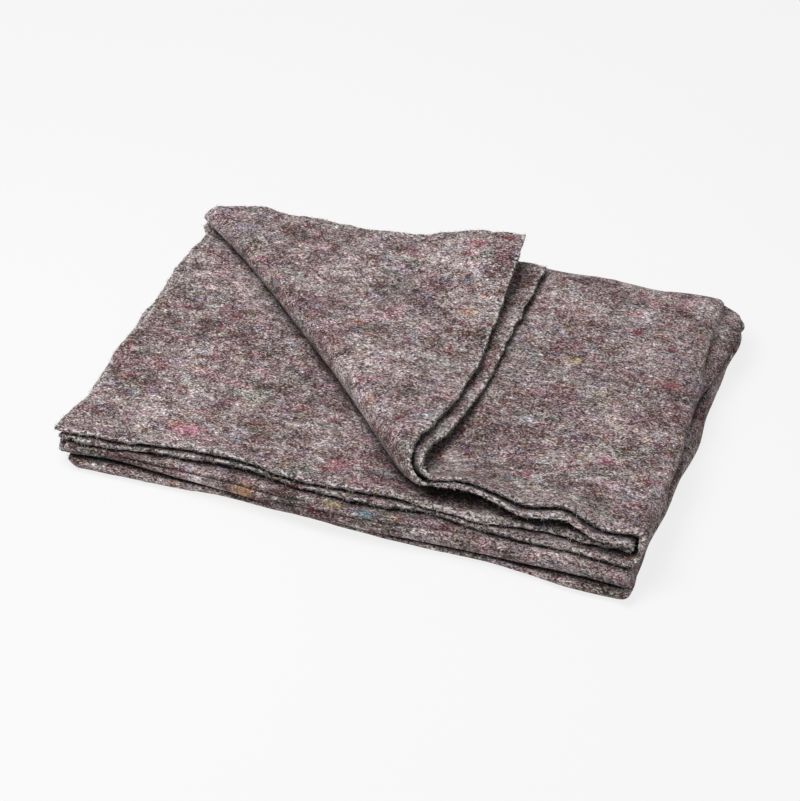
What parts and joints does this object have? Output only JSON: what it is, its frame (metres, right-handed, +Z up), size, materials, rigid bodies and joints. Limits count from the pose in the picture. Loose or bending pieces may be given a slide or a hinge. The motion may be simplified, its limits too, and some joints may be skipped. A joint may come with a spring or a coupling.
{
  "type": "moving blanket",
  "caption": "Oblong stack of a thick felt blanket folded three times, with one corner of the top plies rolled back over it.",
  "frame": {"origin": "middle of the folded blanket's underside, on the floor", "axes": "+X to the right along the long front, +Y from the front to the back, +Z up"},
  "size_m": [0.7741, 0.551, 0.1148],
  "materials": {
    "felt": "matte needled felt of mixed grey-brown recycled fibres with small coloured flecks"
  },
  "bodies": {
    "root": {"blanket": "felt"}
  },
  "joints": []
}
